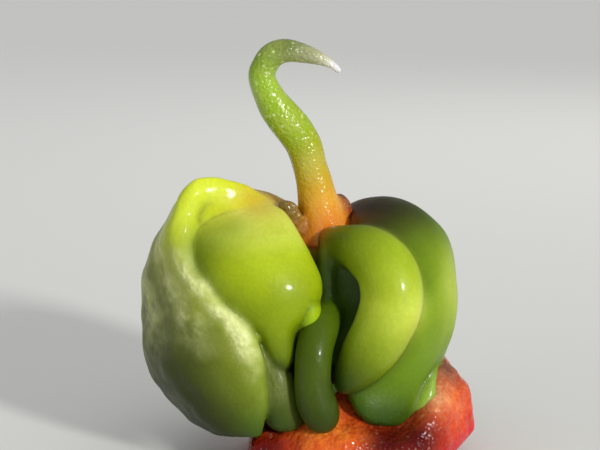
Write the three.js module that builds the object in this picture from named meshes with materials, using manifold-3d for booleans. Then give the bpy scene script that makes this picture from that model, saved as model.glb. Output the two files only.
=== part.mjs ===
// The growth from inside a chilli pepper: green lobes folded round one another, with a hooked horn
// on top, still standing on the cut piece of red flesh that it grew from.
// Millimetres, +Z up, -Y to the front. The origin is the middle of the flat spot under the flesh.

import * as THREE from "three";
import { mergeVertices } from "three/addons/utils/BufferGeometryUtils.js";
import Module from "manifold-3d";

const wasm = await Module();
wasm.setup();

// Driving dimensions
const fleshWall = 3.0; // thickness of the pepper's wall
const skinRadius = 15; // how tightly the skin curves up at the right
const skinFollow = 0.9; // share of the skin's curve that the inner side follows
const flatTo = 2.2; // x where the underside leaves the table
const mound = { height: 3.4, x: 1.6, y: -0.6, spreadX: 2.0, spreadY: 2.3 }; // placenta under the growth
const ridge = { height: 2.8, x: 8.1, y: 1.0, spreadX: 1.1, spreadY: 3.2 }; // pale ridge of placenta
const hoodWall = 0.6; // half the thickness of the hood
const outerWall = 0.7; // of the outer lobe
const backWall = 0.5; // of the lobe at the back
const recessWall = 0.45; // of the wall behind the hollow
const clearance = 0.3; // between nodes that touch
const tipRadius = 0.2; // end of the horn
const mergeDistance = 1e-4; // corners closer than this are one

const front = new THREE.Vector3(0, -1, 0);

// Rolled or rod-like organs: [x, y, z, half width, half depth] along the middle.

const hornStations = [
  [1.0, 1.4, 13.6, 1.9, 1.7],
  [1.0, 1.2, 14.8, 2.3, 2.0],
  [0.9, 0.8, 16.1, 1.55, 1.5],
  [0.7, 0.6, 17.2, 1.22, 1.22],
  [0.3, 0.4, 19.0, 1.1, 1.1],
  [-0.2, 0.2, 20.6, 1.14, 1.12],
  [-1.3, -0.2, 22.2, 1.12, 1.1],
  [-2.2, -0.5, 23.5, 0.93, 0.95],
  [-2.7, -0.7, 24.8, 0.83, 0.85],
  [-2.5, -0.8, 25.6, 0.81, 0.8],
  [-2.0, -0.9, 26.25, 0.78, 0.76],
  [-1.2, -1.0, 26.5, 0.7, 0.69],
  [-0.2, -1.1, 26.35, 0.57, 0.57],
  [0.8, -1.2, 26.05, 0.41, 0.42],
  [1.6, -1.25, 25.65, 0.27, 0.28],
  [2.1, -1.3, 25.2, tipRadius, tipRadius],
];

const budStations = [
  [1.5, 1.0, 15.1, 0.7, 0.65],
  [2.0, 1.4, 15.8, 0.82, 0.85],
  [2.2, 1.7, 16.5, 0.75, 0.75],
  [2.3, 1.8, 17.1, 0.42, 0.4],
];

const scaleStations = [
  [-0.2, 0.0, 14.9, 0.55, 0.5],
  [-0.8, -0.6, 16.0, 0.53, 0.45],
  [-1.2, -0.75, 16.8, 0.44, 0.4],
  [-1.55, -0.6, 17.2, 0.26, 0.28],
];

const stalkStations = [
  [1.1, 1.6, 4.4, 1.5, 1.5],
  [1.1, 1.6, 7.5, 1.5, 1.5],
  [1.1, 1.6, 11.0, 1.9, 1.7],
  [1.0, 1.4, 13.6, 2.5, 2.1],
  [1.0, 1.2, 14.9, 2.1, 1.8],
];

const bulgeStations = [
  [-2.7, -0.9, 17.1, 0.95, 0.7],
  [-3.35, -1.9, 16.3, 2.4, 1.35],
  [-3.55, -2.6, 15.4, 3.2, 1.95],
  [-3.3, -3.05, 14.1, 3.65, 2.5],
  [-2.75, -3.4, 12.7, 3.68, 2.6],
  [-2.35, -3.7, 11.4, 3.1, 2.3],
  [-1.9, -4.1, 10.2, 1.5, 1.75],
  [-1.65, -4.4, 9.3, 1.08, 1.3],
  [-1.5, -4.6, 8.4, 0.8, 1.0],
  [-1.25, -4.7, 7.5, 0.25, 0.4],
];

const foldStations = [
  [-3.9, -4.1, 10.6, 0.3, 0.4],
  [-3.0, -4.5, 9.1, 0.55, 0.6],
  [-2.3, -4.5, 8.0, 0.9, 0.85],
  [-1.75, -4.4, 6.3, 1.22, 1.15],
  [-1.35, -4.2, 4.7, 1.28, 1.2],
  [-1.25, -4.1, 3.4, 1.05, 0.95],
];

const tongueStations = [
  [1.4, -0.6, 10.4, 0.8, 0.9],
  [1.3, -2.2, 10.4, 0.95, 1.0],
  [0.9, -3.8, 10.1, 1.2, 1.2],
  [0.5, -5.1, 8.7, 1.15, 1.2],
  [0.4, -5.3, 6.7, 1.17, 1.25],
  [0.7, -5.2, 5.2, 1.2, 1.3],
  [1.15, -5.0, 3.8, 0.85, 0.95],
];

const innerStations = [
  [1.0, 0.4, 14.7, 0.6, 0.7],
  [2.2, -1.4, 14.7, 1.1, 1.15],
  [3.7, -2.9, 14.4, 1.65, 1.6],
  [4.85, -3.7, 13.4, 1.88, 1.85],
  [5.15, -4.2, 11.7, 1.9, 1.9],
  [4.6, -4.4, 9.9, 1.82, 1.8],
  [3.6, -4.5, 8.3, 1.6, 1.6],
  [2.6, -4.4, 6.9, 1.05, 1.15],
  [2.0, -4.2, 6.0, 0.45, 0.6],
];

// Leafy lobes, from the top down: each level is an arc through its front edge, its side and its back edge.

const hoodLevels = [
  [[-1.4, 0.0, 16.2], [-1.7, 1.9, 16.0], [-0.4, 3.8, 15.2]],
  [[-3.9, -1.3, 17.4], [-4.2, 1.7, 17.1], [-0.9, 4.9, 15.1]],
  [[-6.0, -2.2, 17.9], [-6.8, 1.2, 16.8], [-1.6, 6.5, 14.2]],
  [[-7.0, -2.8, 16.2], [-8.6, 0.8, 15.0], [-2.0, 7.6, 12.6]],
  [[-6.8, -3.8, 14.2], [-9.6, 0.4, 12.6], [-2.6, 8.2, 10.6]],
  [[-5.1, -5.0, 12.1], [-9.7, -0.2, 10.3], [-3.0, 7.9, 8.5]],
  [[-3.3, -5.5, 10.0], [-9.6, -0.8, 7.7], [-2.4, 6.9, 6.6]],
  [[-2.4, -5.5, 7.4], [-8.4, -1.8, 5.6], [-1.4, 5.4, 5.0]],
  [[-2.4, -5.2, 4.7], [-6.4, -2.7, 4.0], [-1.2, 3.4, 3.8]],
  [[-2.6, -4.8, 3.3], [-5.0, -2.4, 3.0], [-2.8, 1.2, 3.2]],
];

// Half width and half depth of the hood's thick rim, at each of its levels.
const rimRadii = [
  [0.4, 0.4],
  [0.65, 0.7],
  [1.0, 1.0],
  [0.9, 0.85],
  [0.6, 0.6],
  [0.5, 0.5],
  [0.5, 0.5],
  [0.5, 0.5],
  [0.5, 0.5],
  [0.4, 0.4],
];

const outerLevels = [
  [[2.7, -0.2, 15.6], [2.7, 1.9, 15.7], [2.3, 4.2, 14.9]],
  [[3.8, -1.7, 14.9], [5.3, 1.4, 16.0], [2.4, 5.8, 14.4]],
  [[4.9, -2.6, 14.1], [7.1, 1.2, 15.2], [3.2, 7.3, 13.6]],
  [[5.7, -3.2, 13.1], [8.45, 1.0, 13.8], [4.2, 8.1, 12.0]],
  [[6.1, -3.7, 11.9], [8.9, 0.8, 11.2], [4.6, 8.2, 10.0]],
  [[6.0, -4.0, 10.2], [8.7, 0.5, 8.9], [4.0, 7.7, 8.0]],
  [[5.0, -4.0, 8.4], [8.1, 0.0, 7.0], [3.1, 6.5, 6.1]],
  [[2.6, -3.9, 6.2], [7.3, -0.8, 5.2], [2.8, 5.0, 4.7]],
  [[2.8, -4.2, 5.0], [6.8, -1.2, 3.9], [3.1, 4.0, 3.9]],
  [[3.7, -4.2, 3.8], [6.1, -1.5, 3.2], [3.5, 2.9, 3.4]],
];

const backLevels = [
  [[-1.2, 2.8, 14.7], [0.8, 3.3, 15.0], [2.8, 2.8, 14.7]],
  [[-2.6, 4.8, 13.8], [1.0, 6.5, 14.0], [4.2, 5.0, 13.9]],
  [[-3.8, 5.7, 12.4], [1.2, 7.6, 12.3], [5.6, 5.7, 12.3]],
  [[-4.6, 5.8, 10.2], [1.2, 8.0, 10.2], [6.4, 5.8, 10.2]],
  [[-4.4, 5.4, 8.2], [1.3, 7.7, 8.0], [6.6, 5.0, 8.2]],
  [[-3.8, 4.4, 6.3], [1.5, 6.6, 6.0], [6.4, 3.8, 6.2]],
  [[-2.6, 3.0, 5.0], [1.8, 4.8, 4.6], [5.8, 2.2, 4.9]],
  [[-0.8, 1.8, 4.2], [2.0, 2.6, 3.8], [4.8, 1.0, 4.1]],
];

// The dark hollow between the middle of the growth and the right inner lobe.
const recessLevels = [
  [[0.6, -1.4, 14.3], [2.1, -0.5, 14.1], [3.8, -1.6, 13.8]],
  [[0.5, -1.9, 13.2], [2.2, -0.4, 12.5], [4.2, -1.8, 12.2]],
  [[0.8, -2.5, 11.2], [2.4, -0.4, 10.4], [4.2, -2.0, 10.4]],
  [[1.1, -2.8, 9.2], [2.3, -1.2, 8.5], [3.6, -2.2, 8.4]],
  [[1.5, -3.1, 6.6], [2.3, -2.4, 6.2], [3.2, -2.9, 6.4]],
];

// Corners of the cut piece of flesh, seen from above.
const fleshCorners = [
  [-3.0, -4.8],
  [0.6, -6.1],
  [6.2, -5.8],
  [8.7, -3.7],
  [11.0, 0.1],
  [9.6, 4.4],
  [3.0, 6.2],
  [-3.2, 5.2],
  [-3.8, 0.6],
];

const fleshMiddle = new THREE.Vector2(-0.6, 0);

// Rings of the flesh, from under its middle, up the cut and back in: share of reach, share of rise.
const fleshRings = [
  [0.24, 0],
  [0.6, 0],
  [0.9, 0],
  [0.985, 0.03],
  [1, 0.14],
  [1, 0.5],
  [0.99, 0.88],
  [0.95, 1],
  [0.86, 1],
  [0.74, 1],
  [0.6, 1],
  [0.46, 1],
  [0.32, 1],
  [0.16, 1],
];

function curveThrough(points) {
  const knots = points.map(([x, y, z = 0]) => new THREE.Vector3(x, y, z));
  return new THREE.CatmullRomCurve3(knots, false, "catmullrom", 0.5);
}

// Below zero where the faces look inwards.
function signedVolume(points, faces) {
  let sum = 0;
  for (let i = 0; i < faces.length; i += 3) {
    const [a, b, c] = faces.slice(i, i + 3).map((corner) => points[corner]);
    sum += a.dot(b.clone().cross(c)) / 6;
  }
  return sum;
}

// A closed body from rings of equally many points, zipped shut across its first and last ring.
function closedSkin(rings) {
  const sides = rings[0].length;
  const points = rings.flat();
  const faces = [];
  for (let low = 0; low < points.length - sides; low += sides) {
    for (let side = 0; side < sides; side += 1) {
      const next = (side + 1) % sides;
      faces.push(low + side, low + next, low + sides + next);
      faces.push(low + side, low + sides + next, low + sides + side);
    }
  }
  const last = points.length - sides;
  for (let near = 0; near < sides / 2 - 1; near += 1) {
    const far = sides - 1 - near;
    faces.push(near + 1, near, far, near + 1, far, far - 1);
    faces.push(last + near, last + near + 1, last + far, last + far, last + near + 1, last + far - 1);
  }
  if (signedVolume(points, faces) < 0) faces.reverse();
  return new THREE.BufferGeometry().setFromPoints(points).setIndex(faces);
}

// Shares of the length from 0 to 1, closer together where the ends round off.
function ringShares(count, cap) {
  const capRings = 3;
  const firstRing = 0.3; // keeps the end ring open
  const shares = [];
  for (let i = 0; i < capRings; i += 1) {
    shares.push(cap * (1 - Math.cos(((i + firstRing) / capRings) * (Math.PI / 2))));
  }
  const inner = count - 2 * capRings;
  const tail = shares.map((share) => 1 - share).reverse();
  for (let i = 0; i < inner; i += 1) {
    shares.push(cap + ((1 - 2 * cap) * i) / (inner - 1));
  }
  return [...shares, ...tail];
}

// How full a section is at share t: 1 along the body, and a quarter circle down at each end.
function endRounding(t, cap) {
  const fromEnd = Math.min(1, Math.min(t, 1 - t) / cap);
  return Math.sqrt(1 - (1 - fromEnd) ** 2);
}

// A rounded rod. With level true its sections stay horizontal, for a body that hangs straight down.
function roll(stations, { rings, sides, cap, level = false }) {
  const path = curveThrough(stations);
  const radii = curveThrough(stations.map(([, , , width, depth]) => [width, depth]));
  return closedSkin(
    ringShares(rings, cap).map((t) => {
      const ahead = level ? new THREE.Vector3(0, 0, -1) : path.getTangent(t);
      const side = new THREE.Vector3().crossVectors(ahead, front).normalize();
      const forward = new THREE.Vector3().crossVectors(side, ahead);
      const radius = radii.getPoint(t).multiplyScalar(endRounding(t, cap));
      const middle = path.getPoint(t);
      return Array.from({ length: sides }, (_, i) => {
        const angle = (2 * Math.PI * i) / sides;
        return middle
          .clone()
          .addScaledVector(side, radius.x * Math.cos(angle))
          .addScaledVector(forward, radius.y * Math.sin(angle));
      });
    }),
  );
}

// The point at share v of the arc that runs from a through b to c.
function arcPoint(a, b, c, v) {
  const toB = b.clone().sub(a);
  const toC = c.clone().sub(a);
  const normal = toB.clone().cross(toC);
  const centre = normal
    .clone()
    .cross(toB)
    .multiplyScalar(toC.lengthSq())
    .add(toC.clone().cross(normal).multiplyScalar(toB.lengthSq()))
    .divideScalar(2 * normal.lengthSq())
    .add(a);
  const start = a.clone().sub(centre);
  const end = c.clone().sub(centre);
  normal.normalize();
  const turn = Math.atan2(normal.dot(start.clone().cross(end)), start.dot(end));
  const angle = turn < 0 ? turn + 2 * Math.PI : turn;
  return start.applyAxisAngle(normal, v * angle).add(centre);
}

// A leafy lobe: a curved sheet through its levels, of the given half thickness, with rounded edges.
function lobe(levels, { rings, columns, half, cap = 0.06 }) {
  const edges = [0, 1, 2].map((i) => curveThrough(levels.map((level) => level[i])));
  const step = 0.004; // how far apart the surface is read for its slopes
  const within = (value) => Math.min(1, Math.max(0, value));
  const surface = (t, v) => arcPoint(...edges.map((edge) => edge.getPoint(within(t))), within(v));
  const shares = ringShares(columns, cap);
  const section = [...shares.map((v) => [v, half]), ...shares.toReversed().map((v) => [v, -half])];
  return closedSkin(
    ringShares(rings, cap).map((t) =>
      section.map(([v, offset]) => {
        const down = surface(t + step, v).sub(surface(t - step, v));
        const across = surface(t, v + step).sub(surface(t, v - step));
        const rise = offset * endRounding(t, cap) * endRounding(v, cap);
        return surface(t, v).addScaledVector(down.cross(across).normalize(), rise);
      }),
    ),
  );
}

// The hood's rim follows the hood's front edge.
function rimStations() {
  return hoodLevels.map(([edge], i) => [...edge, ...rimRadii[i]]);
}

// Straight cuts with softened corners, three points to a corner and one along each cut.
function fleshOutline() {
  const softness = 0.2;
  const corners = fleshCorners.map(([x, y]) => new THREE.Vector2(x, y));
  return corners.flatMap((corner, i) => {
    const before = corner.clone().lerp(corners.at(i - 1), softness);
    const after = corner.clone().lerp(corners[(i + 1) % corners.length], softness);
    const bend = new THREE.QuadraticBezierCurve(before, corner, after);
    const cut = corner.clone().lerp(corners[(i + 1) % corners.length], 0.5);
    return [...bend.getPoints(2), cut];
  });
}

// Height of the skin side over the table.
function skinHeight(x) {
  return Math.max(0, x - flatTo) ** 2 / (2 * skinRadius);
}

// Height of the inner side: the wall, the mound that the growth stands on and the pale ridge.
function innerHeight(x, y) {
  return [mound, ridge].reduce(
    (height, hill) => {
      const far = ((x - hill.x) / hill.spreadX) ** 2 + ((y - hill.y) / hill.spreadY) ** 2;
      return height + hill.height * Math.exp(-far / 2);
    },
    fleshWall + skinFollow * skinHeight(x),
  );
}

// The cut piece, from the middle of its underside round to the middle of its top.
function fleshSkin() {
  const outline = fleshOutline();
  return closedSkin(
    fleshRings.map(([reach, rise]) =>
      outline.map((corner) => {
        const { x, y } = fleshMiddle.clone().lerp(corner, reach);
        return new THREE.Vector3(x, y, THREE.MathUtils.lerp(skinHeight(x), innerHeight(x, y), rise));
      }),
    ),
  );
}

// The same body with its surface moved outwards, to cut what touches it.
function grown(geometry) {
  const bigger = geometry.clone();
  bigger.computeVertexNormals();
  const { position, normal } = bigger.attributes;
  const point = new THREE.Vector3();
  const out = new THREE.Vector3();
  for (let i = 0; i < position.count; i += 1) {
    point.fromBufferAttribute(position, i).addScaledVector(out.fromBufferAttribute(normal, i), clearance);
    position.setXYZ(i, point.x, point.y, point.z);
  }
  return bigger;
}

function solidOf(geometry) {
  const bare = new THREE.BufferGeometry();
  bare.setAttribute("position", geometry.getAttribute("position"));
  bare.setIndex(geometry.index);
  const merged = mergeVertices(bare, mergeDistance);
  return new wasm.Manifold(
    new wasm.Mesh({
      numProp: 3,
      vertProperties: merged.attributes.position.array,
      triVerts: Uint32Array.from(merged.index.array),
    }),
  );
}

// The main body alone, without loose scraps and with sealed hollows filled.
function mainBody(solid) {
  return solid.decompose().reduce((best, body) => (body.volume() > best.volume() ? body : best));
}

function joined(geometries) {
  return mainBody(geometries.map(solidOf).reduce((whole, solid) => whole.add(solid)));
}

function node(name, solid, look) {
  const { vertProperties, triVerts } = mainBody(solid).getMesh();
  const geometry = new THREE.BufferGeometry();
  geometry.setAttribute("position", new THREE.BufferAttribute(vertProperties, 3));
  geometry.setIndex(new THREE.BufferAttribute(triVerts, 1));
  geometry.computeVertexNormals();
  const mesh = new THREE.Mesh(geometry, new THREE.MeshStandardMaterial({ ...look, metalness: 0 }));
  mesh.name = name;
  return mesh;
}

// The horn with the brown bud and the small pale scale at its foot.
const hornBodies = [
  roll(hornStations, { rings: 40, sides: 14, cap: 0.02 }),
  roll(budStations, { rings: 12, sides: 12, cap: 0.25 }),
  roll(scaleStations, { rings: 12, sides: 10, cap: 0.2 }),
];

// The green lobes, grown together with the stalk that holds them.
const lobeBodies = [
  roll(stalkStations, { rings: 14, sides: 14, cap: 0.06 }),
  lobe(hoodLevels, { rings: 24, columns: 16, half: hoodWall }),
  roll(rimStations(), { rings: 30, sides: 12, cap: 0.04 }),
  roll(bulgeStations, { rings: 24, sides: 20, cap: 0.06, level: true }),
  roll(foldStations, { rings: 14, sides: 12, cap: 0.14 }),
  roll(tongueStations, { rings: 18, sides: 14, cap: 0.1 }),
  roll(innerStations, { rings: 24, sides: 16, cap: 0.06 }),
  lobe(recessLevels, { rings: 14, columns: 9, half: recessWall }),
  lobe(outerLevels, { rings: 22, columns: 14, half: outerWall }),
  lobe(backLevels, { rings: 18, columns: 12, half: backWall }),
];

const part = new THREE.Group();
part.add(
  node("horn", joined(hornBodies), { color: 0xd99a3c, roughness: 0.3 }),
  node("green_lobes", joined(lobeBodies).subtract(joined(hornBodies.map(grown))), {
    color: 0x9cb53a,
    roughness: 0.35,
  }),
  node("pepper_flesh", solidOf(fleshSkin()).subtract(joined(lobeBodies.map(grown))), {
    color: 0xd9552b,
    roughness: 0.3,
  }),
);

export default part;
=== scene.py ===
import math
import bpy
import numpy as np
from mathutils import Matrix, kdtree


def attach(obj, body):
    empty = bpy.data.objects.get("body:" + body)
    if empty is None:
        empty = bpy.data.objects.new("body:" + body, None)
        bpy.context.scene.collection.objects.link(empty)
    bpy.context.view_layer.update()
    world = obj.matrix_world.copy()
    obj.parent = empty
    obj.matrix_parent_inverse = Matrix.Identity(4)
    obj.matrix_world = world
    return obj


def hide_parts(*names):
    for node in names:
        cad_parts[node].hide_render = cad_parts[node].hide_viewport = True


# The growth from inside a chilli pepper: green lobes folded round a hooked horn, on cut red flesh.
# Shapes are worked out in millimetres, and become metres when a mesh is made.

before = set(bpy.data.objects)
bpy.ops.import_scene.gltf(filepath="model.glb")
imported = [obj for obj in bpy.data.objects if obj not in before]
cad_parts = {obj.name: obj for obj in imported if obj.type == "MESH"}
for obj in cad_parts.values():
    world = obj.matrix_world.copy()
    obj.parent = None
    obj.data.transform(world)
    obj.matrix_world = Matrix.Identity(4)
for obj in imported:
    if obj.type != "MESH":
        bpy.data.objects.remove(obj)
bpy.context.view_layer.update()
mm = 0.001
perMetre = 1000.0  # millimetres in a metre


# smooth curve through rows of numbers, t from 0 to 1
def curveThrough(rows, t):
    rows = np.asarray(rows, float)
    rows = np.vstack([2 * rows[:1] - rows[1:2], rows, 2 * rows[-1:] - rows[-2:-1]])
    spans = len(rows) - 3
    place = np.clip(np.asarray(t, float), 0, 1) * spans
    i = np.minimum(place.astype(int), spans - 1)
    f = (place - i)[..., None]
    a, b, c, d = rows[i], rows[i + 1], rows[i + 2], rows[i + 3]
    return b + 0.5 * f * (c - a + f * (2 * a - 5 * b + 4 * c - d + f * (3 * (b - c) + d - a)))


def unit(v):
    return v / np.maximum(np.linalg.norm(v, axis=-1, keepdims=True), 1e-12)


# shares of a length from 0 to 1, crowded where the ends round off
def ringShares(count, cap):
    endCount = max(4, count // 7)  # rings in each rounded end
    firstRing = 0.15  # how far the first of them stands from the tip
    low = cap * (1 - np.cos((np.arange(endCount) + firstRing) / endCount * math.pi / 2))
    return np.concatenate([low, np.linspace(cap, 1 - cap, count - 2 * endCount), 1 - low[::-1]])


def endRounding(t, cap):
    fromEnd = np.minimum(1, np.minimum(t, 1 - t) / cap)
    return np.sqrt(np.maximum(0, 1 - (1 - fromEnd) ** 2))


# random smooth hills of about one size, between -1 and 1
def hills(points, size, seed):
    count = 24  # heights along each side of a block of them, which repeats
    farAside = 200  # keeps every place above zero
    lattice = np.random.default_rng(seed).uniform(-1, 1, (count, count, count))
    place = np.asarray(points) / size + farAside
    cell = np.floor(place).astype(int)
    f = place - cell
    f = f * f * (3 - 2 * f)
    total = np.zeros(f.shape[:-1])
    for corner in np.ndindex(2, 2, 2):
        weight = np.prod(np.where(corner, f, 1 - f), axis=-1)
        x, y, z = np.moveaxis((cell + corner) % count, -1, 0)
        total += weight * lattice[x, y, z]
    return total


# which way a grid of rings faces, each ring being closed
def gridNormals(grid):
    across = np.roll(grid, -1, axis=1) - np.roll(grid, 1, axis=1)
    down = np.gradient(grid, axis=0)
    return unit(np.cross(down, across))


# volume inside a grid of rings, below zero where its faces look inwards
def gridVolume(grid):
    a, b = grid[:-1], np.roll(grid, -1, axis=1)[:-1]
    c, d = np.roll(grid, -1, axis=1)[1:], grid[1:]
    return (np.cross(a, b) * c + np.cross(a, c) * d).sum() / 6


# faces of a grid of rings, numbered from start, with both ends zipped shut
def gridFaces(grid, start):
    rings, sides = grid.shape[:2]
    index = start + np.arange(rings * sides).reshape(rings, sides)
    a, b = index[:-1], np.roll(index, -1, axis=1)[:-1]
    c, d = np.roll(index, -1, axis=1)[1:], index[1:]
    faces = np.stack([a, b, c, d], -1).reshape(-1, 4).tolist()
    for ring, flip in ((0, True), (rings - 1, False)):
        for near in range(sides // 2 - 1):
            far = sides - 1 - near
            face = [int(index[ring, p]) for p in (near, near + 1, far - 1, far)]
            faces.append(face[::-1] if flip else face)
    return [face[::-1] for face in faces] if gridVolume(grid) < 0 else faces


def newPiece(name, mesh):
    mesh.name = name
    mesh.shade_smooth()
    piece = bpy.data.objects.new(name, mesh)
    bpy.context.collection.objects.link(piece)
    return piece


def giveValues(mesh, values):
    for label, numbers in values.items():
        numbers = np.asarray(numbers, np.float32)
        wide = numbers.shape[-1] if numbers.ndim > 1 else 1
        kind, field = {
            1: ("FLOAT", "value"), 3: ("FLOAT_VECTOR", "vector"), 4: ("FLOAT_COLOR", "color"),
        }[wide]
        mesh.attributes.new(label, kind, "POINT").data.foreach_set(field, numbers.ravel())


# rounded rod through stations of x, y, z, half width and half depth
def rodGrid(spec):
    t = ringShares(spec["rings"], spec["cap"])
    rows = curveThrough(spec["stations"], t)
    middle, radii = rows[:, :3], rows[:, 3:] * endRounding(t, spec["cap"])[:, None]
    step = 1e-3
    ahead = curveThrough(spec["stations"], t + step) - curveThrough(spec["stations"], t - step)
    ahead = unit(ahead[:, :3])
    if spec.get("level"):
        ahead = np.broadcast_to([0.0, 0.0, -1.0], ahead.shape)
    side = unit(np.cross(ahead, [0, -1, 0]))
    forward = np.cross(side, ahead)
    angle = np.linspace(0, 2 * math.pi, spec["sides"], endpoint=False)
    grid = (
        middle[:, None]
        + (radii[:, :1] * np.cos(angle))[..., None] * side[:, None]
        + (radii[:, 1:] * np.sin(angle))[..., None] * forward[:, None]
    )
    values = {
        "along": np.broadcast_to(t[:, None], grid.shape[:2]),
        "across": np.broadcast_to(0.5 - 0.5 * np.cos(angle), grid.shape[:2]),
        "inside": np.broadcast_to(0.5 - 0.5 * np.sin(angle), grid.shape[:2]),
    }
    return grid, values


# points at shares v of the arcs that run from a through b to c
def arcPoints(a, b, c, v):
    toB, toC = b - a, c - a
    normal = np.cross(toB, toC)
    size = (normal**2).sum(-1, keepdims=True)
    centre = a + (
        np.cross(normal, toB) * (toC**2).sum(-1, keepdims=True)
        + np.cross(toC, normal) * (toB**2).sum(-1, keepdims=True)
    ) / (2 * size)
    normal = normal / np.sqrt(size)
    start, end = a - centre, c - centre
    turn = np.arctan2((normal * np.cross(start, end)).sum(-1), (start * end).sum(-1)) % (2 * math.pi)
    angle = (turn * v)[..., None]
    return centre + start * np.cos(angle) + np.cross(normal, start) * np.sin(angle)


# leafy lobe: a sheet through levels that are arcs from the front edge over the side to the back edge
def lobeGrid(spec):
    levels = np.asarray(spec["levels"], float)
    cap = spec["cap"]

    def surface(t, v):
        edges = [curveThrough(levels[:, i], np.clip(t, 0, 1)) for i in range(3)]
        return arcPoints(*edges, np.clip(v, 0, 1))

    t = ringShares(spec["rings"], cap)
    shares = ringShares(spec["columns"], spec.get("edgeCap", cap))
    v = np.concatenate([shares, shares[::-1]])
    side = np.concatenate([np.ones(len(shares)), -np.ones(len(shares))])
    t, v = (values.astype(float) for values in np.meshgrid(t, v, indexing="ij"))
    step = 0.004
    down = surface(t + step, v) - surface(t - step, v)
    across = surface(t, v + step) - surface(t, v - step)
    half = np.full(t.shape, spec["half"])
    if "bead" in spec:  # a thicker front edge
        bead = curveThrough(np.asarray(spec["bead"], float)[:, None], t)[..., 0]
        half = half + bead * np.exp(-((v / spec["beadWidth"]) ** 2))
    rounding = endRounding(t, cap) * endRounding(v, spec.get("edgeCap", cap))
    sheet, out = surface(t, v), unit(np.cross(down, across))
    facing = np.sign((out * (sheet - sheet.mean((0, 1)))).sum())
    grid = sheet + out * (side * half * rounding)[..., None]
    return grid, {"along": t, "across": v, "inside": 0.5 - 0.5 * facing * side * rounding}


# slab with a cornered outline: rings of reach and rise from under its middle, over the edge, to its top
def fleshGrid(spec):
    corners = np.asarray(spec["corners"])
    count, soft = len(corners), spec["softness"]
    outline = []
    bendPoints = 7
    for i in range(count):
        before = corners[i] + soft * (corners[i - 1] - corners[i])
        after = corners[i] + soft * (corners[(i + 1) % count] - corners[i])
        for t in np.linspace(0, 1, bendPoints):
            outline.append((1 - t) ** 2 * before + 2 * t * (1 - t) * corners[i] + t * t * after)
    outline = np.asarray(outline + outline[:1])
    run = np.concatenate([[0], np.cumsum(np.linalg.norm(np.diff(outline, axis=0), axis=1))])
    places = np.linspace(0, run[-1], spec["points"], endpoint=False)
    outline = np.stack([np.interp(places, run, outline[:, i]) for i in range(2)], -1)
    t = np.linspace(0, 1, spec["rings"])
    reach, rise = np.clip(curveThrough(spec["rise"], t).T, 0, 1)
    middle = np.asarray(spec["middle"])
    xy = middle + reach[:, None, None] * (outline - middle)
    x, y = xy[..., 0], xy[..., 1]
    skin = np.maximum(0, x - spec["flatTo"]) ** 2 / (2 * spec["skinRadius"])
    top = spec["wall"] + spec["skinFollow"] * skin
    for height, hillX, hillY, wide, deep in spec["hills"]:
        top = top + height * np.exp(-0.5 * (((x - hillX) / wide) ** 2 + ((y - hillY) / deep) ** 2))
    z = skin + (top - skin) * rise[:, None]
    grid = np.concatenate([xy, z[..., None]], -1)
    out = gridNormals(grid)
    if gridVolume(grid) < 0:
        out = -out
    skinEdge, cutWidth = 1 / 30, 1 / 6  # shares of the rise: the skin side stays smooth
    cut = np.clip((rise - skinEdge) / cutWidth, 0, 1)[:, None]
    for height, size, seed in spec["relief"]:
        grid = grid + out * (height * cut * hills(grid, size, seed))[..., None]
    grid[..., 2] = np.maximum(grid[..., 2], 0)
    around = np.broadcast_to(np.abs(np.linspace(-1, 1, spec["points"])), x.shape)
    values = {
        "along": np.broadcast_to(t[:, None], x.shape),
        "across": around,
        "inside": np.broadcast_to(rise[:, None], x.shape),
    }
    return grid, values


# adds gentle unevenness: rows of height, size of the hills and a seed
def uneven(grid, relief):
    out = gridNormals(grid)
    if gridVolume(grid) < 0:
        out = -out
    for height, size, seed in relief:
        grid = grid + out * (height * hills(grid, size, seed))[..., None]
    return grid


# shader helpers

def paint(r, g, b):  # a colour as a paint program shows it, for a shader
    return tuple(((c / 255 + 0.055) / 1.055) ** 2.4 if c > 10 else c / 3295 for c in (r, g, b)) + (1.0,)


def addNode(tree, kind, inputs=None, **settings):
    node = tree.nodes.new(kind)
    for key, value in settings.items():
        setattr(node, key, value)
    for key, value in (inputs or {}).items():
        if isinstance(value, bpy.types.NodeSocket):
            tree.links.new(value, node.inputs[key])
        else:
            node.inputs[key].default_value = value
    return node


def mixColours(tree, share, a, b, way="MIX"):
    inputs = {0: share, 6: a, 7: b}  # 6, 7 and the third output are the node's colour sockets
    return addNode(tree, "ShaderNodeMix", inputs, data_type="RGBA", blend_type=way).outputs[2]


def spread(tree, value, low, high, toLow=0.0, toHigh=1.0):
    inputs = {"Value": value, "From Min": low, "From Max": high, "To Min": toLow, "To Max": toHigh}
    return addNode(tree, "ShaderNodeMapRange", inputs, interpolation_type="SMOOTHSTEP").outputs["Result"]


def maths(tree, way, a, b):
    return addNode(tree, "ShaderNodeMath", {0: a, 1: b}, operation=way).outputs[0]


def pointValue(tree, label):
    return addNode(tree, "ShaderNodeAttribute", attribute_name=label).outputs["Fac"]


def newGroup(name, inputs, outputs):
    group = bpy.data.node_groups.new(name, "ShaderNodeTree")
    for label, value in inputs.items():
        socket = group.interface.new_socket(label, in_out="INPUT", socket_type="NodeSocketFloat")
        socket.default_value = value
    for label in outputs:
        group.interface.new_socket(label, in_out="OUTPUT", socket_type="NodeSocketFloat")
    return group, group.nodes.new("NodeGroupInput"), group.nodes.new("NodeGroupOutput")


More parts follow.
